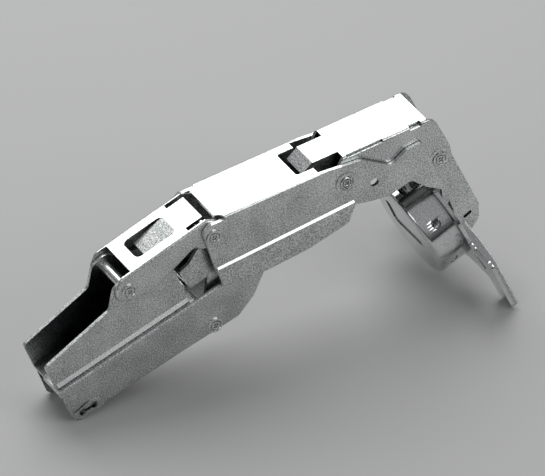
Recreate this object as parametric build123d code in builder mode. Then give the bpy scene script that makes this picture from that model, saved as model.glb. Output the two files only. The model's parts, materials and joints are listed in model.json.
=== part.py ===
"""Wide angle concealed cabinet hinge, fully open, resting like an arch on its arm and its cup flange.

Millimetres. X runs along the hinge from the arm to the cup, Y across it, Z up. The origin is the
centre of the cup at the seating plane of its flange. Side view points are first measured from the
rear pivot of the arm, which is the lowest joint of the linkage at the arm's upper edge.
"""

from build123d import *
import os
from math import cos, radians, sin, sqrt, tan

# Sheet, clearances and pins.
sheet = 1.2
side_gap = 0.2
running_gap = 0.05
pin_radius = 1.9
head_radius = 2.7
head_thick = 0.6
dimple_radius = 0.75
dimple_spread = 0.6
dimple_deep = 0.35
bend_radius = 1.0

# Half widths of the nested channels, from the innermost to the outermost.
foot_half = 4.8
bracket_half = foot_half + side_gap + sheet
channel_half = bracket_half + side_gap + sheet
middle_half = channel_half + side_gap + sheet
outer_half = middle_half + side_gap + sheet

# Cup and flange.
cup_radius = 17.5
cup_depth = 11.5
cup_wall = 0.8
cup_tilt = 23.0
cup_corner = 1.6
flange_thick = 1.2
flange_radius = 19.3
wing_reach = 32.0
wing_top = -3.5
wing_bottom = -16.0
finger_drop = -26.7
screw_spacing = 45.0
screw_offset = -9.5
screw_hole_radius = 2.6
cup_pin_radius = 1.6
cup_pin_depth = 5.4
cup_pin_side = 10.0
toe_pin_depth = 6.0
toe_pin_side = 7.0
cup_pin_short = 0.1
recess_wide = 18.0
recess_tall = 12.0
recess_up = 4.0
recess_deep = 0.4
recess_round = 2.0
window_wide = 5.0
window_tall = 4.5
window_depth = 6.0
window_round = 0.8
passage_half = channel_half + 0.6
passage_tall = 5.0
passage_deep = 7.0
passage_round = 1.5
finger_width = 8.0
finger_round = 2.5

# Foot of the cross lever, heads and the details of the webs.
bracket_inner = foot_half + side_gap
bracket_lift = 3.4
foot_radius = 1.6
foot_head_radius = 2.4
crossing_head_radius = 2.2
nose_hole_radius = 1.6
emboss_inner = 2.6
emboss_outer = 3.8
lever_emboss = 0.3
front_emboss_outer = 4.2
front_emboss = 0.15
flare = 0.7
link_web_back = 4.26
lever_web_back = 1.71
link_window_at = 12.2
link_window_long = 15.6
link_window_half = 4.9
link_window_round = 2.0
link_tongue_half = 4.2
link_notch_at = 26.4
link_notch_long = 6.8
link_notch_side = 6.9
link_notch_wide = 1.8
lever_fork_short = 1.04
lever_fork_long = 10.6
lever_fork_half = 6.35
lever_fork_round = 1.0
lever_notch_radius = 2.6
cross_notch_short = 4.54
cross_notch_long = 4.5
cross_notch_deep = 1.6

# Screws in the floor of the channel, and the catch at the rear.
side_screw_run = 12.0
side_screw_radius = 2.8
side_screw_height = 5.0
depth_screw_run = -12.0
depth_screw_radius = 3.2
depth_screw_height = 2.4
screw_round = 0.4
screw_slot = 0.9
screw_slot_deep = 1.2
screw_slot_share = 0.7
pad_proud = 0.4
pad_slot_radius = 1.3
pad_neck_half = 0.6
shell_open = 26.0
channel_front = 23.6
channel_rear = -26.5
bracket_rear = 24.9
bracket_front = 31.0
clip_pin_radius = 1.2
catch_half = 6.0

# The rear pivot seen from the cup centre.
cup_reach = 122.2
cup_drop = 20.8


def spot(x, z):
    """A side view point measured from the rear pivot, in the model's frame."""
    return (x - cup_reach, z + cup_drop)


def fore(x, z):
    """A side view point measured from the cup's centre, for all that lies towards the cup."""
    return (x, z)


def off(pivot, dx, dz):
    """A side view point beside a pivot."""
    return (pivot[0] + dx, pivot[1] + dz)


def along(start, end, run):
    """A point on the straight edge between two side view points, at a run from its start."""
    return tuple(Vector(*start) + (Vector(*end) - Vector(*start)).normalized() * run)[:2]


def in_cup(depth, side):
    """A side view point inside the cup, by its depth below the flange and its way off the axis."""
    lean = radians(cup_tilt)
    return (-depth * cos(lean) - side * sin(lean), -depth * sin(lean) + side * cos(lean))


# Pivots of the linkage, fully open.
rear_pivot = spot(0.0, 0.0)
link_pivot = spot(31.0, 10.7)
tilt_pivot = spot(32.2, -26.7)
foot_pivot = spot(42.0, -21.0)
crossing_pivot = fore(-41.2, 34.2)
nose_hole = fore(-30.2, 29.9)
front_pivot = fore(-4.4, 28.6)
cup_pivot = in_cup(cup_pin_depth, cup_pin_side)
toe_pivot = in_cup(toe_pin_depth, -toe_pin_side)

# The arm lies along this slope.
arm_slope = 18.2
arm_rise = tan(radians(arm_slope))
seam = spot(8.0, -20.0)


def on_seam(x, lift=0.0):
    """A point above the seam of the arm, at a run x from the rear pivot."""
    reach = x - cup_reach
    return (reach, seam[1] + (reach - seam[0]) * arm_rise + lift)


clip_pivot = on_seam(-21.0, -5.5)
catch_outline = [
    on_seam(-23.5, -2.4), on_seam(-17.0, -2.4), on_seam(-13.0, -6.0), on_seam(-13.6, -7.4),
    on_seam(-20.5, -8.6), on_seam(-24.0, -6.5),
]


def screw_plane(run, height=0.0):
    """A plane on the floor of the channel, square to the slope of the arm."""
    lean = radians(arm_slope)
    foot = on_seam(run)
    lift = sheet + height
    return Plane(origin=(foot[0] - lift * sin(lean), 0, foot[1] + lift * cos(lean)), x_dir=(0, 1, 0),
                 z_dir=(-sin(lean), 0, cos(lean)))


def web_plane(start, end):
    """The plane on top of a web, x from its start to its end."""
    run = (end[0] - start[0], 0, end[1] - start[1])
    return Plane(origin=(start[0], 0, start[1]), x_dir=run, z_dir=(-run[2], 0, run[0]))


def plate(points, radii, start, thick, mode=Mode.ADD):
    """A flat sheet with this side view outline, from start towards the near side."""
    with BuildSketch(Plane.XZ.offset(start)) as face:
        with BuildLine():
            FilletPolyline(*points, radius=radii, close=True)
        make_face()
    extrude(face.sketch, amount=thick, mode=mode)


def walls(points, radii, outer, mode=Mode.ADD):
    """The two upright walls of a folded channel whose outer half width is given."""
    for start in (outer - sheet, -outer):
        plate(points, radii, start, sheet, mode)


def across(points, radii, half, mode=Mode.ADD):
    """A web or a cut that runs from wall to wall."""
    plate(points, radii, -half, 2 * half, mode)


def band(start, end, half, mode=Mode.ADD):
    """A straight web between two side view points, its thickness to the right of the run."""
    run = Vector(*end) - Vector(*start)
    inward = Vector(run.Y, -run.X).normalized() * sheet
    low_end = (end[0] + inward.X, end[1] + inward.Y)
    low_start = (start[0] + inward.X, start[1] + inward.Y)
    across([start, end, low_end, low_start], [0, 0, 0, 0], half, mode)


def rod(pivot, radius, start, length, mode=Mode.ADD):
    """A round bar or bore across the hinge."""
    with BuildSketch(Plane.XZ.offset(start)) as disc:
        with Locations(pivot):
            Circle(radius)
    extrude(disc.sketch, amount=length, mode=mode)


def bore(pivot, radius, half):
    """A round hole through both walls of a channel."""
    rod(pivot, radius, -half - sheet, 2 * (half + sheet), Mode.SUBTRACT)


def dimple(pivot, start):
    """The two lobed mark that the riveting punch leaves."""
    for side in (-dimple_spread, dimple_spread):
        rod(off(pivot, side, 0), dimple_radius, start, dimple_deep, Mode.SUBTRACT)


def rivet(pivot, half, radius=pin_radius, head=head_radius):
    """A pin across a channel, with a dimpled round head outside each wall."""
    face = half + running_gap
    rod(pivot, radius, -face, 2 * face)
    for start in (face, -face - head_thick):
        rod(pivot, head, start, head_thick)
    dimple(pivot, face + head_thick - dimple_deep)
    dimple(pivot, -face - head_thick)


def emboss(pivot, half, inner, outer, proud):
    """A raised ring round a pivot, on the outside of both walls."""
    for start in (half, -half - proud):
        rod(pivot, outer, start, proud)
        rod(pivot, inner, start, proud, Mode.SUBTRACT)


def near_rivet(pivot, inner, outer, radius, head, thick):
    """A short rivet in the near wall that leaves the middle clear."""
    rod(pivot, radius, inner, outer - inner)
    rod(pivot, head, outer, thick)
    dimple(pivot, outer + thick - dimple_deep)


def far_rivet(pivot, inner, outer, radius, head, thick):
    """The same rivet in the far wall."""
    rod(pivot, radius, -outer, outer - inner)
    rod(pivot, head, -outer - thick, thick)
    dimple(pivot, -outer - thick)


def bend(builder, start, end, half):
    """Rounds the two long corners where a web folds into its walls."""
    run = Vector(end[0] - start[0], 0, end[1] - start[1]).normalized()
    corners = []
    for edge in builder.part.edges().filter_by(GeomType.LINE):
        away = edge.center() - Vector(start[0], 0, start[1])
        beside = abs(abs(edge.center().Y) - half) < running_gap
        if beside and abs(away.cross(run).Y) < running_gap and abs((edge % 0.5).Y) < running_gap:
            corners.append(edge)
    fillet(corners, bend_radius)


def screw(builder, run, radius, height):
    """A cross slotted screw that stands in the floor of the channel."""
    with BuildSketch(screw_plane(run)) as foot:
        Circle(radius)
    extrude(foot.sketch, amount=height)
    fillet(builder.faces().sort_by(Axis.Z)[-1].edges(), screw_round)
    with BuildSketch(screw_plane(run, height)) as slots:
        for turn in (0, 90):
            Rectangle(2 * radius * screw_slot_share, screw_slot, rotation=turn)
    extrude(slots.sketch, amount=-screw_slot_deep, mode=Mode.SUBTRACT)


def pin_reach(side):
    """How far a pin in the cup reaches before it would leave the cup's round wall."""
    return sqrt(cup_radius ** 2 - (side + cup_pin_radius) ** 2) - cup_pin_short


def keep(builder, name):
    """Labels a finished piece and writes it out."""
    builder.part.label = name
    export_step(builder.part, "parts/" + name + ".step")


os.makedirs("parts", exist_ok=True)

# The arm: a lower shell that clips over the mounting plate, open underneath.
shell_outline = [
    on_seam(-26.0), on_seam(49.5), spot(51.1, -12.9), spot(47.3, -20.8), spot(41.5, -27.0),
    spot(22.7, -32.4), spot(-19.5, -45.5), spot(-21.6, -43.6),
]
pad_outline = [
    spot(-21.6, -42.0), spot(-15.6, -38.6), spot(-10.2, -38.6), spot(-9.6, -42.0), spot(-19.0, -44.9),
]
pad_slot_rear = spot(-18.0, -42.1)
pad_slot_front = spot(-13.6, -40.8)
pad_neck = [
    off(pad_slot_rear, 0, pad_neck_half), off(pad_slot_front, 0, pad_neck_half),
    off(pad_slot_front, 0, -pad_neck_half), off(pad_slot_rear, 0, -pad_neck_half),
]
with BuildPart() as arm_shell:
    walls(shell_outline, [0.5, 1, 2, 3, 4, 6, 1, 1], middle_half)
    band(on_seam(-26.0), on_seam(shell_open), middle_half)
    bend(arm_shell, on_seam(-26.0), on_seam(shell_open), middle_half)
    rod(tilt_pivot, pin_radius, -middle_half, 2 * middle_half, Mode.SUBTRACT)
    rod(clip_pivot, clip_pin_radius, -middle_half, 2 * middle_half, Mode.SUBTRACT)
    for start in (middle_half, -middle_half - pad_proud):
        plate(pad_outline, [1, 2, 2.5, 0.8, 0.8], start, pad_proud)
    for centre in (pad_slot_rear, pad_slot_front):
        bore(centre, pad_slot_radius, middle_half)
    plate(pad_neck, [0, 0, 0, 0], -middle_half - sheet, 2 * middle_half + 2 * sheet, Mode.SUBTRACT)
keep(arm_shell, "arm_shell")

# The upper channel of the arm, open at the top and at the rear, with the ears of the rear pivot.
channel_outline = [
    spot(-30.6, -20.3), spot(-6.4, -6.4), spot(-4.8, 1.6), spot(0.0, 4.8), spot(4.8, 2.4), spot(16.0, 2.2),
    spot(18.7, -1.4), spot(22.6, -13.2), on_seam(channel_front), on_seam(channel_rear),
]
with BuildPart() as arm_channel:
    walls(channel_outline, [1.5, 2, 3, 3, 2, 1.5, 2, 3, 0, 0], channel_half)
    band(on_seam(channel_front), on_seam(channel_rear), channel_half)
    bend(arm_channel, on_seam(channel_front), on_seam(channel_rear), channel_half)
    rod(rear_pivot, pin_radius, -channel_half, 2 * channel_half, Mode.SUBTRACT)
keep(arm_channel, "arm_channel")

# The inner bracket continues the channel and reaches down to the tilt and foot pivots.
bracket_outline = [
    on_seam(bracket_rear, bracket_lift), spot(20.6, -2.4), spot(24.2, -0.4), spot(27.4, 4.4), spot(32.5, 4.4),
    spot(36.5, 1.0), spot(45.5, -13.5), spot(46.6, -20.5), spot(43.5, -24.8), spot(34.0, -29.4),
    spot(29.0, -27.5), on_seam(bracket_front, bracket_lift),
]
with BuildPart() as bearing_bracket:
    walls(bracket_outline, [0, 1, 2, 2, 1.5, 2, 4, 3, 3, 2.6, 2.6, 0], bracket_half)
    band(bracket_outline[-1], bracket_outline[0], bracket_half)
    bend(bearing_bracket, bracket_outline[-1], bracket_outline[0], bracket_half)
    rod(tilt_pivot, pin_radius, -bracket_half, 2 * bracket_half, Mode.SUBTRACT)
    rod(foot_pivot, foot_radius, -bracket_half, 2 * bracket_half, Mode.SUBTRACT)
keep(bearing_bracket, "bearing_bracket")

# The rear pivot pin, a bright rod between the ears.
with BuildPart() as rear_pin:
    rivet(rear_pivot, middle_half)
keep(rear_pin, "rear_pin")

# The tilt rivets join the shell to the bracket, the foot rivets carry the cross lever's foot.
with BuildPart() as tilt_rivet_near:
    near_rivet(tilt_pivot, bracket_inner, middle_half, pin_radius, head_radius, head_thick)
keep(tilt_rivet_near, "tilt_rivet_near")
with BuildPart() as tilt_rivet_far:
    far_rivet(tilt_pivot, bracket_inner, middle_half, pin_radius, head_radius, head_thick)
keep(tilt_rivet_far, "tilt_rivet_far")
with BuildPart() as foot_rivet_near:
    near_rivet(foot_pivot, bracket_inner, bracket_half, foot_radius, foot_head_radius, head_thick)
keep(foot_rivet_near, "foot_rivet_near")
with BuildPart() as foot_rivet_far:
    far_rivet(foot_pivot, bracket_inner, bracket_half, foot_radius, foot_head_radius, head_thick)
keep(foot_rivet_far, "foot_rivet_far")

# The two adjusting screws stand in the floor of the channel.
with BuildPart() as side_screw:
    screw(side_screw, side_screw_run, side_screw_radius, side_screw_height)
keep(side_screw, "side_screw")
with BuildPart() as depth_screw:
    screw(depth_screw, depth_screw_run, depth_screw_radius, depth_screw_height)
keep(depth_screw, "depth_screw")

# The catch at the rear end of the arm and its cross pin.
with BuildPart() as clip_pin:
    rod(clip_pivot, clip_pin_radius, -middle_half, 2 * middle_half)
keep(clip_pin, "clip_pin")
with BuildPart() as clip_lever:
    plate(catch_outline, [1, 1, 0.8, 0.8, 2, 1], -catch_half, 2 * catch_half)
    rod(clip_pivot, clip_pin_radius, -catch_half, 2 * catch_half, Mode.SUBTRACT)
keep(clip_lever, "clip_lever")

# The rear link, a lid shaped channel from the arm to the long lever.
link_outline = [
    spot(-4.6, 1.0), spot(-2.6, 5.3), spot(29.2, 16.9), spot(33.4, 15.6), spot(36.2, 10.2), spot(33.6, 5.6),
    spot(28.4, 5.4), spot(24.6, 7.4), spot(15.6, 0.6), spot(8.6, -3.6), spot(2.0, -4.8), spot(-4.0, -3.4),
]
link_web_start = along(link_outline[1], link_outline[2], link_web_back)
link_web_end = link_outline[2]
link_tongue_tip = spot(9.4, 7.2)
link_tongue_root = spot(20.8, 13.84)
with BuildPart() as rear_link:
    walls(link_outline, [3, 2.2, 0, 2, 3, 2, 2, 1.5, 4, 3, 3, 3], middle_half)
    band(link_web_start, link_web_end, middle_half)
    bend(rear_link, link_web_start, link_web_end, middle_half)
    with BuildSketch(web_plane(link_web_start, link_web_end)) as openings:
        with Locations((link_window_at, 0)):
            RectangleRounded(link_window_long, 2 * link_window_half, link_window_round)
        with Locations((link_notch_at, link_notch_side), (link_notch_at, -link_notch_side)):
            Rectangle(link_notch_long, link_notch_wide)
    extrude(openings.sketch, amount=-sheet - running_gap, mode=Mode.SUBTRACT)
    band(link_tongue_tip, link_tongue_root, link_tongue_half)
    bore(rear_pivot, pin_radius + running_gap, middle_half)
    rod(link_pivot, pin_radius, -middle_half, 2 * middle_half, Mode.SUBTRACT)
keep(rear_link, "rear_link")
with BuildPart() as link_pin:
    rivet(link_pivot, outer_half)
keep(link_pin, "link_pin")

# The long lever: upright walls, a flared lower flange, a web with a fork, a nose and a front hook.
lever_outline = [
    spot(26.9, 13.6), spot(30.9, 16.97), fore(-51.2, 41.25), fore(-35.1, 40.8), fore(-23.7, 34.2),
    fore(-18.2, 38.1), fore(-12.0, 39.4), fore(-10.2, 35.3), fore(-6.8, 24.4), fore(-2.0, 17.4),
    fore(-1.2, 11.4), fore(-6.4, 4.0), fore(-11.2, 4.6), fore(-11.8, 8.0), fore(-5.6, 10.8),
    fore(-3.9, 12.2), fore(-4.4, 17.0), fore(-10.2, 20.2), fore(-16.2, 25.2), fore(-24.2, 22.2),
    fore(-32.1, 22.8), fore(-38.9, 23.9), spot(32.2, -4.2),
]
lever_radii = [2.5, 0, 0, 4, 3, 3, 2, 2, 6, 3, 3, 2.4, 1.8, 1.6, 0.6, 0.6, 0.8, 3, 2, 4, 3, 1, 0]
flange_outline = [
    spot(31.9, -3.2), fore(-37.6, 25.1), fore(-40.4, 17.8), fore(-56.0, 13.0), spot(50.0, -10.3),
    spot(34.4, -10.9),
]
lever_web_start = along(lever_outline[1], lever_outline[2], lever_web_back)
lever_web_end = lever_outline[2]
lever_web_long = (Vector(*lever_web_end) - Vector(*lever_web_start)).length
with BuildPart() as long_lever:
    walls(lever_outline, lever_radii, outer_half)
    for start in (outer_half - sheet + flare, -outer_half - flare):
        plate(flange_outline, [0, 0, 1.5, 8, 8, 2.5], start, sheet)
    band(lever_web_start, lever_web_end, outer_half)
    bend(long_lever, lever_web_start, lever_web_end, outer_half)
    with BuildSketch(web_plane(lever_web_start, lever_web_end)) as openings:
        with Locations((lever_web_long - lever_fork_short, 0)):
            RectangleRounded(lever_fork_long, 2 * lever_fork_half, lever_fork_round)
        with Locations((0, outer_half), (0, -outer_half)):
            Circle(lever_notch_radius)
    extrude(openings.sketch, amount=-sheet - running_gap, mode=Mode.SUBTRACT)
    bore(nose_hole, nose_hole_radius, outer_half)
    emboss(crossing_pivot, outer_half, emboss_inner, emboss_outer, lever_emboss)
    bore(link_pivot, pin_radius + running_gap, outer_half)
    bore(crossing_pivot, pin_radius + running_gap, outer_half)
    bore(cup_pivot, cup_pin_radius + running_gap, outer_half)
keep(long_lever, "long_lever")

# The cross lever: a wide upper channel, and a narrow lower part that runs down to the foot.
cross_outline = [
    fore(-41.2, 43.2), fore(-9.3, 46.2), fore(-6.0, 44.4), fore(-0.6, 32.8), fore(0.4, 27.8),
    fore(-3.7, 23.7), fore(-8.4, 26.0), fore(-16.2, 34.8), fore(-34.2, 30.8), fore(-41.8, 29.4),
    fore(-46.4, 34.4),
]
foot_outline = [
    fore(-54.6, 39.0), fore(-50.7, 42.3), fore(-35.6, 43.7), fore(-36.6, 32.2), fore(-43.7, 26.8),
    spot(45.6, -22.0), spot(41.2, -24.4), spot(38.6, -20.4), fore(-58.2, 26.8),
]
cross_web_start = fore(-41.2, 43.2)
cross_web_end = fore(-9.3, 46.2)
cross_web_long = (Vector(*cross_web_end) - Vector(*cross_web_start)).length
tongue_start = fore(-50.7, 42.3)
with BuildPart() as cross_lever:
    walls(cross_outline, [0, 2.5, 3, 3, 3.5, 4, 3, 3, 4, 4, 4], middle_half)
    walls(foot_outline, [1.5, 1.5, 0, 3, 6, 2, 2.4, 1.8, 6], foot_half)
    band(cross_web_start, cross_web_end, middle_half)
    band(tongue_start, cross_web_start, foot_half + side_gap)
    band(fore(-54.6, 39.0), tongue_start, foot_half)
    bend(cross_lever, cross_web_start, cross_web_end, middle_half)
    with BuildSketch(web_plane(cross_web_start, cross_web_end)) as openings:
        notch_at = cross_web_long - cross_notch_short
        with Locations((notch_at, middle_half), (notch_at, -middle_half)):
            Rectangle(cross_notch_long, 2 * cross_notch_deep)
    extrude(openings.sketch, amount=-sheet - running_gap, mode=Mode.SUBTRACT)
    rod(crossing_pivot, pin_radius, -middle_half, 2 * middle_half, Mode.SUBTRACT)
    emboss(front_pivot, middle_half, head_radius + side_gap, front_emboss_outer, front_emboss)
    bore(front_pivot, pin_radius + running_gap, middle_half)
    rod(foot_pivot, foot_radius + running_gap, -foot_half, 2 * foot_half, Mode.SUBTRACT)
keep(cross_lever, "cross_lever")
with BuildPart() as crossing_pin:
    rivet(crossing_pivot, outer_half, pin_radius, crossing_head_radius)
keep(crossing_pin, "crossing_pin")

# The front lever curves round in front of the mouth of the cup.
front_outline = [
    fore(-8.6, 31.3), fore(-3.6, 33.2), fore(1.2, 27.8), fore(12.4, 2.8), fore(12.6, -3.2),
    fore(9.2, -7.8), fore(-1.2, -11.6), fore(-5.6, -8.2), fore(-2.6, -5.2), fore(2.2, -3.6),
    fore(1.4, 3.8), fore(-3.0, 15.8), fore(-8.6, 25.4),
]
front_slot = [fore(6.4, -1.2), fore(9.4, 0.4), fore(8.8, 1.6), fore(5.8, 0.0)]
front_web_start = fore(2.0, 26.0)
front_web_end = fore(11.9, 3.9)
with BuildPart() as front_lever:
    walls(front_outline, [3, 4, 3, 2, 5, 4, 3.2, 2.6, 2, 2.5, 3, 4, 3], channel_half)
    band(front_web_start, front_web_end, channel_half)
    bend(front_lever, front_web_start, front_web_end, channel_half)
    plate(front_slot, [0.5, 0.5, 0.5, 0.5], -channel_half, 2 * channel_half, Mode.SUBTRACT)
    rod(front_pivot, pin_radius, -channel_half, 2 * channel_half, Mode.SUBTRACT)
    rod(toe_pivot, cup_pin_radius + running_gap, -channel_half, 2 * channel_half, Mode.SUBTRACT)
keep(front_lever, "front_lever")
with BuildPart() as front_pin:
    rivet(front_pivot, middle_half)
keep(front_pin, "front_pin")

# The cup with its flange, wings and fingers, drawn from the mouth.
mouth = Plane(origin=(0, 0, 0), x_dir=(0, 1, 0), z_dir=(cos(radians(cup_tilt)), 0, sin(radians(cup_tilt))))
above = Plane(origin=(0, 0, 0), x_dir=(0, 1, 0), z_dir=(-sin(radians(cup_tilt)), 0, cos(radians(cup_tilt))))
with BuildPart() as cup:
    with BuildSketch(mouth):
        Circle(cup_radius)
    extrude(amount=-cup_depth)
    back = cup.faces().filter_by(GeomType.PLANE).sort_by(Axis.X)[0]
    fillet(back.edges(), cup_corner)
    with BuildSketch(mouth):
        Circle(flange_radius)
        with Locations((0, (wing_top + wing_bottom) / 2)):
            Rectangle(2 * wing_reach, wing_top - wing_bottom)
        for side in (-1, 1):
            with Locations((side * (wing_reach - finger_width / 2), (wing_top + finger_drop) / 2)):
                Rectangle(finger_width, wing_top - finger_drop)
        fillet([v for v in vertices() if abs(v.Y) > 1 and abs(v.X) > cup_radius], finger_round)
    extrude(amount=flange_thick)
    with BuildSketch(mouth.offset(flange_thick)):
        Circle(cup_radius - cup_wall)
    extrude(amount=-cup_depth - flange_thick + cup_wall, mode=Mode.SUBTRACT)
    with BuildSketch(mouth):
        with Locations((screw_spacing / 2, screw_offset), (-screw_spacing / 2, screw_offset)):
            Circle(screw_hole_radius)
    extrude(amount=flange_thick, mode=Mode.SUBTRACT)
    with BuildSketch(mouth.offset(flange_thick)):
        with Locations((0, -flange_radius)):
            RectangleRounded(2 * passage_half, 2 * passage_tall, passage_round)
    extrude(amount=-flange_thick - passage_deep, mode=Mode.SUBTRACT)
    with BuildSketch(mouth.offset(-cup_depth)) as recess:
        with Locations((0, recess_up)):
            RectangleRounded(recess_wide, recess_tall, recess_round)
    extrude(amount=recess_deep, mode=Mode.SUBTRACT)
    with BuildSketch(above) as window:
        with Locations((0, window_depth)):
            RectangleRounded(window_wide, window_tall, window_round)
    extrude(window.sketch, amount=cup_radius + flange_thick, mode=Mode.SUBTRACT)
    rod(cup_pivot, cup_pin_radius, -cup_radius, 2 * cup_radius, Mode.SUBTRACT)
    rod(toe_pivot, cup_pin_radius, -cup_radius, 2 * cup_radius, Mode.SUBTRACT)
keep(cup, "cup")

# The pin of the long lever runs right across the cup, the toe pins are two stubs.
cup_pin_end = pin_reach(cup_pin_side)
toe_pin_end = pin_reach(toe_pin_side)
toe_pin_start = channel_half + side_gap
with BuildPart() as cup_pin:
    rod(cup_pivot, cup_pin_radius, -cup_pin_end, 2 * cup_pin_end)
    dimple(cup_pivot, cup_pin_end - dimple_deep)
    dimple(cup_pivot, -cup_pin_end)
keep(cup_pin, "cup_pin")
with BuildPart() as toe_pin_near:
    rod(toe_pivot, cup_pin_radius, toe_pin_start, toe_pin_end - toe_pin_start)
keep(toe_pin_near, "toe_pin_near")
with BuildPart() as toe_pin_far:
    rod(toe_pivot, cup_pin_radius, -toe_pin_end, toe_pin_end - toe_pin_start)
keep(toe_pin_far, "toe_pin_far")
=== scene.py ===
# %% [markdown]
# Wide angle concealed cabinet hinge, dressed for a studio picture
#
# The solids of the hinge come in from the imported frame: the arm, the levers, the pins and the cup. This
# lesson gives them the finish of nickel plated pressed steel, adds the small stamped and riveted details
# that a press tool leaves, and lights them like a catalogue picture.

# %% Load the hinge and note its size
import json
import math

import bpy
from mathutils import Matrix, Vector


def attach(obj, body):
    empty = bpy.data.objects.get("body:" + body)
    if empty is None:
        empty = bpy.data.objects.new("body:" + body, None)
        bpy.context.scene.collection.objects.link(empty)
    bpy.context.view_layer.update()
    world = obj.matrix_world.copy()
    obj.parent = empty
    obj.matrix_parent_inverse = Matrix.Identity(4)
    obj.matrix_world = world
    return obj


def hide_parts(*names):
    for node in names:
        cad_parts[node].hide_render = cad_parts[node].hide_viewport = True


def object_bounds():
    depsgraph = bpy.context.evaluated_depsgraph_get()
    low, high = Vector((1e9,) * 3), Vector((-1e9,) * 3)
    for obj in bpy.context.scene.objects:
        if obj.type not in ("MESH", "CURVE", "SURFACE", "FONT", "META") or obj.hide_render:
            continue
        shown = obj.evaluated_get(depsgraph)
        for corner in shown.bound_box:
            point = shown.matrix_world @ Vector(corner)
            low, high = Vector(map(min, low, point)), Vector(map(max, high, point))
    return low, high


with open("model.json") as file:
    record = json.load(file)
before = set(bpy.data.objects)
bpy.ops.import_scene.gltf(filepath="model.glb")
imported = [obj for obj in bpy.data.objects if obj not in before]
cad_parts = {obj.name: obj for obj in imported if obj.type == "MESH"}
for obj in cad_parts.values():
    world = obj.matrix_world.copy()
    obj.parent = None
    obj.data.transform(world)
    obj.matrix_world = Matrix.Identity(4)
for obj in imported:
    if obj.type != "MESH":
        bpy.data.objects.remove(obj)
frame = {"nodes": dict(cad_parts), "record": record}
cad_low, cad_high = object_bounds()
print("hinge box in metres", [round(high - low, 4) for low, high in zip(cad_low, cad_high)])

MM = 0.001

# %% [markdown]
# The side view of the hinge is measured from its rear pivot, the lowest joint at the arm's upper edge.
# One helper turns such a point, in millimetres, into a place in the frame, and a second one does the same
# from the middle of the cup's mouth. The near side is the side that the camera sees, and it faces minus Y.

# %% Places on the hinge
CUP_REACH = 122.2
CUP_DROP = 20.8
CUP_TILT = math.radians(23.0)
SIDES = (("near", 1), ("far", -1))


def spot(x, z, side=0.0):
    """A place by its side view point from the rear pivot, and how far it lies towards the near side."""
    return Vector(((x - CUP_REACH) * MM, -side * MM, (z + CUP_DROP) * MM))


mouth_out = Vector((math.cos(CUP_TILT), 0, math.sin(CUP_TILT)))
mouth_up = Vector((-math.sin(CUP_TILT), 0, math.cos(CUP_TILT)))


def in_cup(depth, up, side=0.0):
    """A place in the cup, by its depth behind the flange, its way up from the axis and its side."""
    return (mouth_up * up - mouth_out * depth) * MM + Vector((0, -side * MM, 0))


print("rear pivot in metres", [round(value, 4) for value in spot(0, 0)])


# %% [markdown]
# Camera
#
# The picture was taken from the near side, well above the table, with a long lens that hardly converges.
# The view is aimed at a point on the near wall of the long lever that falls in the middle of the picture.

# %% Camera
VIEW_TURN = math.radians(-31.0)
VIEW_RISE = math.radians(37.5)
VIEW_DISTANCE = 3.0
VIEW_END = 20.0
LENS = 610.4
SENSOR = 36.0
PICTURE_MIDDLE = spot(54.0, 0.3, 9.0)

camera_data = bpy.data.cameras.new("picture_camera")
camera = bpy.data.objects.new("picture_camera", camera_data)
bpy.context.collection.objects.link(camera)
toward_camera = Vector((math.sin(VIEW_TURN) * math.cos(VIEW_RISE),
                        -math.cos(VIEW_TURN) * math.cos(VIEW_RISE),
                        math.sin(VIEW_RISE)))
camera.location = PICTURE_MIDDLE + toward_camera * VIEW_DISTANCE
camera.rotation_euler = toward_camera.to_track_quat("Z", "Y").to_euler()
camera_data.sensor_width = SENSOR
camera_data.clip_end = VIEW_END
camera_data.lens = LENS
bpy.context.scene.camera = camera
print("camera", [round(value, 3) for value in camera.location])

# %% [markdown]
# A colour picker gives sRGB values, but the shader wants linear light, so one function turns the written
# hex colour into linear numbers. A second small function adds a node with its settings and its links,
# which keeps each material readable from top to bottom, and a third one writes the stops of a colour ramp.

# %% Helpers for colours and nodes


def linear(hex_colour):
    """Linear RGBA from a written sRGB colour."""
    channels = []
    for start in (0, 2, 4):
        value = int(hex_colour[start:start + 2], 16) / 255
        channels.append(value / 12.92 if value <= 0.04045 else ((value + 0.055) / 1.055) ** 2.4)
    return (*channels, 1.0)


def add_node(tree, kind, settings=None, links=None):
    """A new node with its properties, its input values, and the sockets that feed it."""
    node = tree.nodes.new(kind)
    for name, value in (settings or {}).items():
        if name in node.inputs:
            node.inputs[name].default_value = value
        else:
            setattr(node, name, value)
    for name, source in (links or {}).items():
        tree.links.new(source, node.inputs[name])
    return node


def set_stops(ramp, stops):
    """Gives a colour ramp its stops, each a position and a written colour, from left to right."""
    elements = ramp.color_ramp.elements
    while len(elements) < len(stops):
        elements.new(0.5)
    for element, (position, colour) in zip(elements, stops):
        element.position = position
        element.color = linear(colour)


def new_material(name):
    """An empty node material, its tree and its shader."""
    material = bpy.data.materials.new(name)
    material.use_nodes = True
    tree = material.node_tree
    shader = tree.nodes["Principled BSDF"]
    return material, tree, shader


print("mid grey in linear light", round(linear("808080")[0], 3))

# %% [markdown]
# Nickel plated pressed steel
#
# The levers are cold rolled strip, stamped, tumbled and nickel plated. Plating follows the skin of the
# strip, so the surface is a satin metal with a fine bright speckle about 0.45 mm across, slightly cloudy
# over larger patches. Two noises drive the tint and the roughness, and the finer one also gives the bump.
# An occlusion node paints shade into the colour, darkening the metal inside the folded sheets and other
# recesses.

# %% Nickel plated steel
GRAIN = 0.45 * MM
CLOUD = 11.0 * MM
# Painted shade in the recesses: how far the occlusion looks, and its ramp from near black to no change.
PAINTED_SHADE_REACH = 28.0 * MM
CLOUD_SHARE = 0.2
BUMP_STRENGTH = 0.5
PAINTED_SHADE_STOPS = ((0.30, "2A2B2C"), (0.80, "FFFFFF"))
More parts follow.
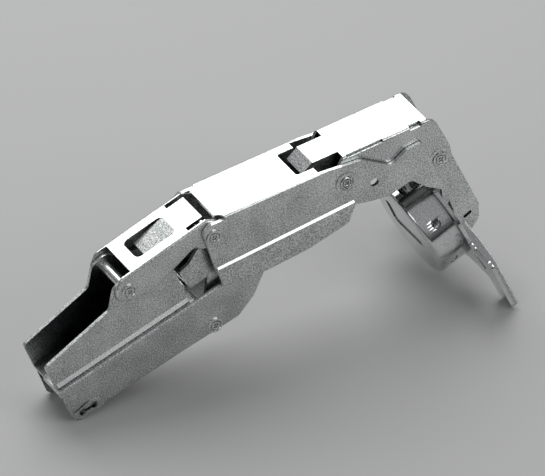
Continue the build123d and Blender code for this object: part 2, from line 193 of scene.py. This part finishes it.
# A Mix node lists its colour sockets after its number sockets.
MIX_FACTOR, MIX_FIRST, MIX_SECOND, MIX_COLOUR = 0, 6, 7, 2


def plated_steel(name, colour, dull, bright, rough_low, rough_high, grain_depth):
    """Satin plating with a fine grain and soft clouds, and painted shade that darkens its recesses."""
    material, tree, shader = new_material(name)
    place = add_node(tree, "ShaderNodeTexCoord").outputs["Object"]
    grain = add_node(tree, "ShaderNodeTexNoise", {"Scale": 1 / GRAIN, "Detail": 2.0, "Roughness": 0.6},
                     {"Vector": place})
    clouds = add_node(tree, "ShaderNodeTexNoise", {"Scale": 1 / CLOUD, "Detail": 4.0, "Roughness": 0.55},
                      {"Vector": place})
    mixed = add_node(tree, "ShaderNodeMix", {"Factor": CLOUD_SHARE},
                     {"A": grain.outputs["Fac"], "B": clouds.outputs["Fac"]})
    tint = add_node(tree, "ShaderNodeValToRGB", links={"Fac": mixed.outputs["Result"]})
    set_stops(tint, ((0.40, dull), (0.50, colour), (0.62, bright)))
    # Painted shade: the occlusion darkens the base colour wherever the sheets fold round a recess.
    reach = add_node(tree, "ShaderNodeAmbientOcclusion",
                     {"Distance": PAINTED_SHADE_REACH, "samples": 8, "only_local": True})
    painted_shade = add_node(tree, "ShaderNodeValToRGB", links={"Fac": reach.outputs["AO"]})
    set_stops(painted_shade, PAINTED_SHADE_STOPS)
    tint_and_painted_shade = add_node(tree, "ShaderNodeMix", {"data_type": "RGBA", "blend_type": "MULTIPLY"})
    tint_and_painted_shade.inputs[MIX_FACTOR].default_value = 1.0
    tree.links.new(tint.outputs["Color"], tint_and_painted_shade.inputs[MIX_FIRST])
    tree.links.new(painted_shade.outputs["Color"], tint_and_painted_shade.inputs[MIX_SECOND])
    rough = add_node(tree, "ShaderNodeMapRange", {"From Min": 0.3, "From Max": 0.7,
                                                  "To Min": rough_low, "To Max": rough_high},
                     {"Value": mixed.outputs["Result"]})
    relief = add_node(tree, "ShaderNodeBump", {"Strength": BUMP_STRENGTH, "Distance": grain_depth * MM},
                      {"Height": grain.outputs["Fac"]})
    tree.links.new(tint_and_painted_shade.outputs[MIX_COLOUR], shader.inputs["Base Color"])
    tree.links.new(rough.outputs["Result"], shader.inputs["Roughness"])
    tree.links.new(relief.outputs["Normal"], shader.inputs["Normal"])
    shader.inputs["Metallic"].default_value = 1.0
    return material


satin_nickel = plated_steel("satin_nickel_steel", "CED2D1", "989D9C", "F8FAF9", 0.25, 0.38, 0.016)
pin_steel = plated_steel("riveted_pin_steel", "E0E1E0", "CDCFCE", "F4F4F3", 0.20, 0.30, 0.004)
cup_nickel = plated_steel("drawn_cup_nickel", "D4D6D6", "C6C8C9", "E6E7E7", 0.08, 0.15, 0.003)
# Painted highlight: a paler, glossier nickel for the rounded edges and the flared strips, standing in for
# the light that they catch.
painted_highlight_edge = plated_steel("painted_highlight_nickel", "F0F1F1", "E2E4E4", "FAFAFA", 0.22, 0.32, 0.003)
screw_zinc = plated_steel("zinc_screw_steel", "85888E", "6C6F75", "A3A6AB", 0.30, 0.45, 0.01)
finishes = (satin_nickel, pin_steel, cup_nickel, painted_highlight_edge, screw_zinc)
print("finishes", [finish.name for finish in finishes])

# %% [markdown]
# Each solid takes the material of its slot in the record: levers and arm in satin nickel, pins in plain
# bright steel, the screws in darker zinc and the deep drawn cup in the mirror like nickel that the draw
# ring leaves.

# %% Give the solids their finish
finish_of_slot = {"nickel": satin_nickel, "polished_nickel": cup_nickel,
                  "bright_pin": pin_steel, "dark_steel": screw_zinc}
slot_of_node = {part["node"]: part["material_slot"] for part in frame["record"]["subparts"]}
body_of_node = {}
for body, names in frame["record"]["behaviour"]["bodies"].items():
    for name in names:
        body_of_node[name] = body
for name, node in frame["nodes"].items():
    node.data.materials.clear()
    node.data.materials.append(finish_of_slot[slot_of_node[name]])
print("solids dressed", len(slot_of_node))

# %% [markdown]
# Rounded edges with a painted highlight
#
# A blanking press leaves a square edge, and tumbling then rounds it. Along those edges the hinge shows
# the thin light lines that tell the eye how thick the sheet is. Each pressed piece is a merged copy of its
# solid, and a Bevel modifier rounds its edges by a third of a millimetre. The rounded faces catch the lamp,
# and they get a paler material as a painted highlight. The cross lever also gets the slot that the press
# tool cuts along its top fold, by taking a long thin box away from each side.

# %% Round the edges of the pressed pieces
EDGE_ROUND_WIDTH = 0.34
FOLD_ANGLE = math.radians(32)
MERGE_GAP = 0.002 * MM
FLAT_ANGLE = math.radians(0.5)
SLOT_START = spot(82.2, 22.45)
SLOT_END = spot(96.0, 23.75)
SLOT_OUTER = 9.4
SLOT_INNER = 8.0
SLOT_TALL = 1.5


def begin(name):
    """An empty mesh object at the origin, open in edit mode with nothing else selected."""
    bpy.ops.object.select_all(action="DESELECT")
    bpy.ops.object.add(type="MESH", location=(0, 0, 0))
    piece = bpy.context.object
    piece.name = name
    bpy.ops.object.mode_set(mode="EDIT")
    return piece


def complete(piece, body, materials, stands_for=None):
    """Leaves edit mode, shades the piece and tells the frame what it rides on and what it replaces."""
    if bpy.context.mode == "EDIT_MESH":
        bpy.ops.object.mode_set(mode="OBJECT")
    piece.data.materials.clear()
    for material in materials:
        piece.data.materials.append(material)
    bpy.ops.object.select_all(action="DESELECT")
    piece.select_set(True)
    bpy.context.view_layer.objects.active = piece
    bpy.ops.object.shade_smooth_by_angle(angle=FOLD_ANGLE)
    flat = piece.modifiers.new("flat_faces", "WEIGHTED_NORMAL")
    flat.keep_sharp = True
    bpy.ops.object.modifier_apply(modifier="flat_faces")
    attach(piece, body)
    if stands_for:
        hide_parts(stands_for)
    piece.select_set(False)


def cut_slot(piece, side):
    """Cuts a slot along the top fold, on the near side (1) or the far side (-1)."""
    run = SLOT_END - SLOT_START
    middle_side = side * (SLOT_OUTER + SLOT_INNER) / 2
    bpy.ops.object.select_all(action="DESELECT")
    bpy.ops.mesh.primitive_cube_add(size=1.0,
                                    location=(SLOT_START + SLOT_END) / 2 - Vector((0, middle_side * MM, 0)),
                                    rotation=(0, -math.atan2(run.z, run.x), 0),
                                    scale=(run.length, (SLOT_OUTER - SLOT_INNER) * MM, SLOT_TALL * MM))
    punch = bpy.context.object
    bpy.context.view_layer.objects.active = piece
    slotted = piece.modifiers.new("slot", "BOOLEAN")
    slotted.operation = "DIFFERENCE"
    slotted.solver = "EXACT"
    slotted.object = punch
    bpy.ops.object.modifier_apply(modifier="slot")
    bpy.data.objects.remove(punch)


def pressed_piece(node_name, slotted_sides=()):
    """A copy of a pressed solid with rounded edges in a painted highlight material, and with a slot on the
    sides that have one.
    """
    node = frame["nodes"][node_name]
    piece = begin("pressed_" + node_name)
    bpy.ops.object.mode_set(mode="OBJECT")
    piece.data = node.data.copy()
    bpy.ops.object.mode_set(mode="EDIT")
    bpy.ops.mesh.select_all(action="SELECT")
    bpy.ops.mesh.remove_doubles(threshold=MERGE_GAP)
    bpy.ops.mesh.dissolve_limited(angle_limit=FLAT_ANGLE)
    bpy.ops.object.mode_set(mode="OBJECT")
    for side in slotted_sides:
        cut_slot(piece, side)
    # The bevel rounds the edges, and its new faces take the paler material as a painted highlight.
    edge_rounding = piece.modifiers.new("rounded_highlight_edges", "BEVEL")
    edge_rounding.width = EDGE_ROUND_WIDTH * MM
    edge_rounding.segments = 2
    edge_rounding.limit_method = "ANGLE"
    edge_rounding.angle_limit = FOLD_ANGLE
    edge_rounding.material = 1
    bpy.ops.object.modifier_apply(modifier="rounded_highlight_edges")
    slot_name = slot_of_node[node_name]
    complete(piece, body_of_node[node_name], [finish_of_slot[slot_name], painted_highlight_edge], node_name)
    return piece


slotted_sides_of = {"cross_lever": (1, -1)}
for name in ("arm_shell", "arm_channel", "bearing_bracket", "clip_lever", "rear_link", "long_lever",
             "cross_lever", "front_lever", "cup"):
    piece = pressed_piece(name, slotted_sides_of.get(name, ()))
    print(piece.name, len(piece.data.polygons), "faces")

# %% [markdown]
# Riveted pins
#
# Each pivot is a steel pin whose ends are spun over a washer shaped head. The spinning tool leaves a pale
# rim, a dark groove, a bright inner ring and a pit with the mark of the punch. A cylinder is the start:
# its end faces are grown into heads by extruding, and the rings come from insets that step in and out.

# %% Spin the heads of the pins
PIN_SIDES = 48
UP_ACROSS = (math.radians(90), 0, 0)
HEAD_THICK = 0.6
HEAD_WALL = 0.75
HEAD_TOP = 0.90
RING_DEPTH = 1.5


def select_cap(piece, side):
    """Selects the end face of a pin that looks towards the near side (1) or the far side (-1)."""
    bpy.ops.mesh.select_mode(type="FACE")
    bpy.ops.mesh.select_all(action="DESELECT")
    bpy.ops.object.mode_set(mode="OBJECT")
    caps = [face for face in piece.data.polygons if face.normal.y * side < -0.99]
    outermost = min(caps, key=lambda face: face.center.y * side)
    outermost.select = True
    bpy.ops.object.mode_set(mode="EDIT")


def grow_cap(pivot, side, from_radius, to_radius, outward):
    """Extrudes the selected end face, moves it outwards and scales it about the pin's axis."""
    bpy.ops.mesh.extrude_region_move(TRANSFORM_OT_translate={"value": (0, -side * outward * MM, 0)})
    if to_radius != from_radius:
        ratio = to_radius / from_radius
        bpy.ops.transform.resize(value=(ratio, 1, ratio), center_override=pivot)


# Each ring is a share of the head's radius and a height as a share of the ring depth.
HEAD_RINGS = [(0.82, 0.0), (0.72, -0.42), (0.60, -0.42), (0.53, 0.0), (0.44, 0.04), (0.36, -0.10),
              (0.30, -0.50), (0.14, -0.50), (0.08, -0.15)]


def spun_head(piece, pivot, side, shaft, head):
    """Turns the end of a shaft into a round head with its rings."""
    select_cap(piece, side)
    grow_cap(pivot, side, shaft, head, 0.0)
    grow_cap(pivot, side, head, head, HEAD_THICK * HEAD_WALL)
    grow_cap(pivot, side, head, head * HEAD_TOP, HEAD_THICK * (1 - HEAD_WALL))
    radius, level = head * HEAD_TOP, 0.0
    for share, height in HEAD_RINGS:
        next_level = height * HEAD_THICK * RING_DEPTH
        grow_cap(pivot, side, radius, head * share, next_level - level)
        radius, level = head * share, next_level


def riveted_pin(node_name, pivot, start, end, shaft, head, sides):
    """A pin across the hinge, from start to end towards the near side, with spun heads on some sides."""
    piece = begin("spun_" + node_name)
    middle_side = (start + end) / 2
    bpy.ops.mesh.primitive_cylinder_add(vertices=PIN_SIDES, radius=shaft * MM, depth=(end - start) * MM,
                                        location=pivot + Vector((0, -middle_side * MM, 0)),
                                        rotation=UP_ACROSS)
    for side in sides:
        spun_head(piece, pivot, side, shaft, head)
    bpy.ops.mesh.select_all(action="SELECT")
    bpy.ops.mesh.normals_make_consistent(inside=False)
    complete(piece, body_of_node[node_name], [pin_steel], node_name)
    return piece


PIN_SHAFT = 1.9
PIN_HEAD = 2.7
CROSSING_HEAD = 2.2
FOOT_SHAFT = 1.6
FOOT_HEAD = 2.4
REAR_FACE = 9.05
LEVER_FACE = 10.45
SHELL_FACE = 9.0
BRACKET_FACE = 6.2
RIVET_INNER = 5.0
TILT_PLACE = spot(32.2, -26.7)
FOOT_PLACE = spot(42.0, -21.0)
pins = [
    riveted_pin("rear_pin", spot(0, 0), -REAR_FACE, REAR_FACE, PIN_SHAFT, PIN_HEAD, (1, -1)),
    riveted_pin("link_pin", spot(31.0, 10.7), -LEVER_FACE, LEVER_FACE, PIN_SHAFT, PIN_HEAD, (1, -1)),
    riveted_pin("crossing_pin", spot(81.0, 13.4), -LEVER_FACE, LEVER_FACE, PIN_SHAFT, CROSSING_HEAD,
                (1, -1)),
    riveted_pin("front_pin", spot(117.8, 7.8), -REAR_FACE, REAR_FACE, PIN_SHAFT, PIN_HEAD, (1, -1)),
    riveted_pin("tilt_rivet_near", TILT_PLACE, RIVET_INNER, SHELL_FACE, PIN_SHAFT, PIN_HEAD, (1,)),
    riveted_pin("tilt_rivet_far", TILT_PLACE, -SHELL_FACE, -RIVET_INNER, PIN_SHAFT, PIN_HEAD, (-1,)),
    riveted_pin("foot_rivet_near", FOOT_PLACE, RIVET_INNER, BRACKET_FACE, FOOT_SHAFT, FOOT_HEAD, (1,)),
    riveted_pin("foot_rivet_far", FOOT_PLACE, -BRACKET_FACE, -RIVET_INNER, FOOT_SHAFT, FOOT_HEAD, (-1,)),
]
for pin in pins:
    print(pin.name, [round(size / MM, 2) for size in pin.dimensions], "mm")

# %% [markdown]
# Flared folds
#
# The walls of the long lever step outwards above their lower flange, and the arm's upper channel steps
# out above the seam, so that the nested sheets clear each other when the hinge folds. Each step is a
# narrow slanting strip that catches the lamp, and its paler edge material adds a painted highlight. A
# cube is stretched along the fold, and its upper outer edge is pushed in until the face leans.

# %% Lean the strips along the folds
ARM_SLOPE = math.radians(18.2)
SEAM_X, SEAM_Z = 8.0, -20.0
SEAM_LIFT = 1.6
LEAN = 0.98


def leaning_strip(name, body, start, end, wall, out, tall):
    """A wedge along a wall, from start to end, close to the wall on top and standing out below."""
    run = end - start
    slope = math.atan2(run.z, run.x)
    up = Vector((-math.sin(slope), 0, math.cos(slope)))
    side = math.copysign(1, wall)
    centre = (start + end) / 2 + up * tall * MM / 2 + Vector((0, -(wall + side * out / 2) * MM, 0))
    piece = begin(name)
    bpy.ops.mesh.primitive_cube_add(size=1.0, location=centre, rotation=(0, -slope, 0),
                                    scale=(run.length, out * MM, tall * MM))
    bpy.ops.mesh.select_mode(type="VERT")
    bpy.ops.object.mode_set(mode="OBJECT")
    for corner in piece.data.vertices:
        place = corner.co - centre
        corner.select = place.dot(up) > 0 and -place.y * side > 0
    for edge in piece.data.edges:
        edge.select = all(piece.data.vertices[index].select for index in edge.vertices)
    for face in piece.data.polygons:
        face.select = False
    bpy.ops.object.mode_set(mode="EDIT")
    bpy.ops.transform.translate(value=(0, side * out * LEAN * MM, 0))
    # The whole strip takes the paler edge material, a painted highlight.
    complete(piece, body, [painted_highlight_edge])
    return piece


def above_seam(x):
    """A place just above the seam of the arm, at a run x from the rear pivot."""
    return spot(x, SEAM_Z + (x - SEAM_X) * math.tan(ARM_SLOPE) + SEAM_LIFT)


flares = []
for label, side in SIDES:
    flares.append(leaning_strip("lever_flare_" + label, "long_lever", spot(32.4, -3.35), spot(84.2, 4.05),
                                wall=side * 10.38, out=0.72, tall=1.0))
    flares.append(leaning_strip("seam_flare_" + label, "arm", above_seam(-26.2), above_seam(22.6),
                                wall=side * 7.58, out=0.9, tall=1.1))
print("flared folds", len(flares))

# %% [markdown]
# The stiffening lip of each wing
#
# A flat wing of sheet would bend under its screw, so its upper outer border is turned up towards the
# mouth. The lip runs slantwise from beside the cup to the tip of the finger, and its outer face is the
# bright band that the picture shows below the front lever. A cube is cut across in four, its corners are
# laid along the border so that both ends come out lower, and a Bevel modifier rounds it.

# %% Turn up the lips of the wings
LIP_SHEET = 1.0
LIP_START = (13.6, 1.6)
LIP_END = (31.6, -26.0)
LIP_TALL = 4.6
LIP_TIP_TALL = 2.8
LIP_ROOT_DROP = 0.81
LIP_TIP_FROM = 0.5
LIP_ROOT_TO = 0.3


def wing_lip(label, side):
    """A turned up border on one wing, lower towards the tip of the finger."""
    start = in_cup(0, LIP_START[1], side * LIP_START[0])
    end = in_cup(0, LIP_END[1], side * LIP_END[0])
    run = end - start
    along = run.normalized()
    across = along.cross(mouth_out)
    if across.y * side > 0:
        across = -across
    piece = begin("wing_lip_" + label)
    bpy.ops.mesh.primitive_cube_add(size=1.0, location=(0.5, 0, 0.5))
    bpy.ops.mesh.select_mode(type="EDGE")
    bpy.ops.mesh.select_all(action="SELECT")
    bpy.ops.mesh.subdivide(number_cuts=3)
    bpy.ops.object.mode_set(mode="OBJECT")
    for corner in piece.data.vertices:
        share = corner.co.x
        height = LIP_TALL - (LIP_TALL - LIP_TIP_TALL) * max(0.0, share - LIP_TIP_FROM) / (1 - LIP_TIP_FROM)
        height -= LIP_ROOT_DROP * max(0.0, LIP_ROOT_TO - share) / LIP_ROOT_TO
        corner.co = (start + run * share + across * corner.co.y * LIP_SHEET * MM
                     + mouth_out * corner.co.z * height * MM)
    bpy.ops.object.mode_set(mode="EDIT")
    bpy.ops.mesh.select_all(action="SELECT")
    bpy.ops.mesh.normals_make_consistent(inside=False)
    bpy.ops.object.mode_set(mode="OBJECT")
    rolled = piece.modifiers.new("rolled_border", "BEVEL")
    rolled.width = EDGE_ROUND_WIDTH * MM
    rolled.segments = 3
    rolled.limit_method = "ANGLE"
    rolled.angle_limit = FOLD_ANGLE
    bpy.ops.object.modifier_apply(modifier="rolled_border")
    complete(piece, "cup", [cup_nickel])
    return piece


for label, side in SIDES:
    lip = wing_lip(label, side)
    print(lip.name, [round(size / MM, 1) for size in lip.dimensions], "mm")

# %% [markdown]
# The table and the light
#
# A plain pale table, a large soft lamp overhead that the flat tops of the levers mirror as near white,
# and two weaker lamps, one in front of the near walls and one from the left. Bare metal shows what stands
# round it, so the world is bright above and darker towards the horizon, which is what makes the upright
# walls read as mid grey.

# %% Table and light
TABLE_SIZE = 3.0
WORLD_STRENGTH = 0.5
bpy.ops.object.select_all(action="DESELECT")
bpy.ops.mesh.primitive_plane_add(size=TABLE_SIZE, location=(0, 0, cad_low[2]))
table = bpy.context.object
table.name = "table"

table_paint, tree, shader = new_material("pale_table")
shader.inputs["Base Color"].default_value = linear("B2B2B2")
shader.inputs["Roughness"].default_value = 0.8
table.data.materials.append(table_paint)


def soft_lamp(name, place, size, power, aim):
    """A square area lamp that faces a point."""
    data = bpy.data.lights.new(name, "AREA")
    data.shape = "SQUARE"
    data.size = size
    data.energy = power
    lamp = bpy.data.objects.new(name, data)
    bpy.context.collection.objects.link(lamp)
    lamp.location = place
    lamp.rotation_euler = (Vector(place) - aim).to_track_quat("Z", "Y").to_euler()
    print(name, size, "m wide,", power, "W")


hinge_middle = spot(54.0, 0.0)
toward_front_lamp = Vector((0.378, -0.63, 0.522))
soft_lamp("overhead_softbox", (0.05, 0.55, 0.78), size=0.9, power=7.6, aim=hinge_middle)
soft_lamp("front_softbox", hinge_middle + toward_front_lamp, size=0.55, power=1.6, aim=hinge_middle)
soft_lamp("left_softbox", (-0.75, -0.30, 0.45), size=0.4, power=0.6, aim=hinge_middle)

world = bpy.data.worlds.new("studio")
bpy.context.scene.world = world
world.use_nodes = True
tree = world.node_tree
sky = tree.nodes["Background"]
direction = add_node(tree, "ShaderNodeTexCoord").outputs["Generated"]
height = add_node(tree, "ShaderNodeSeparateXYZ", links={"Vector": direction}).outputs["Z"]
dome = add_node(tree, "ShaderNodeValToRGB", links={"Fac": height})
set_stops(dome, ((0.0, "2C2D2F"), (0.42, "D4D5D6")))
tree.links.new(dome.outputs["Color"], sky.inputs["Color"])
sky.inputs["Strength"].default_value = WORLD_STRENGTH

bpy.context.scene.view_settings.view_transform = "Standard"
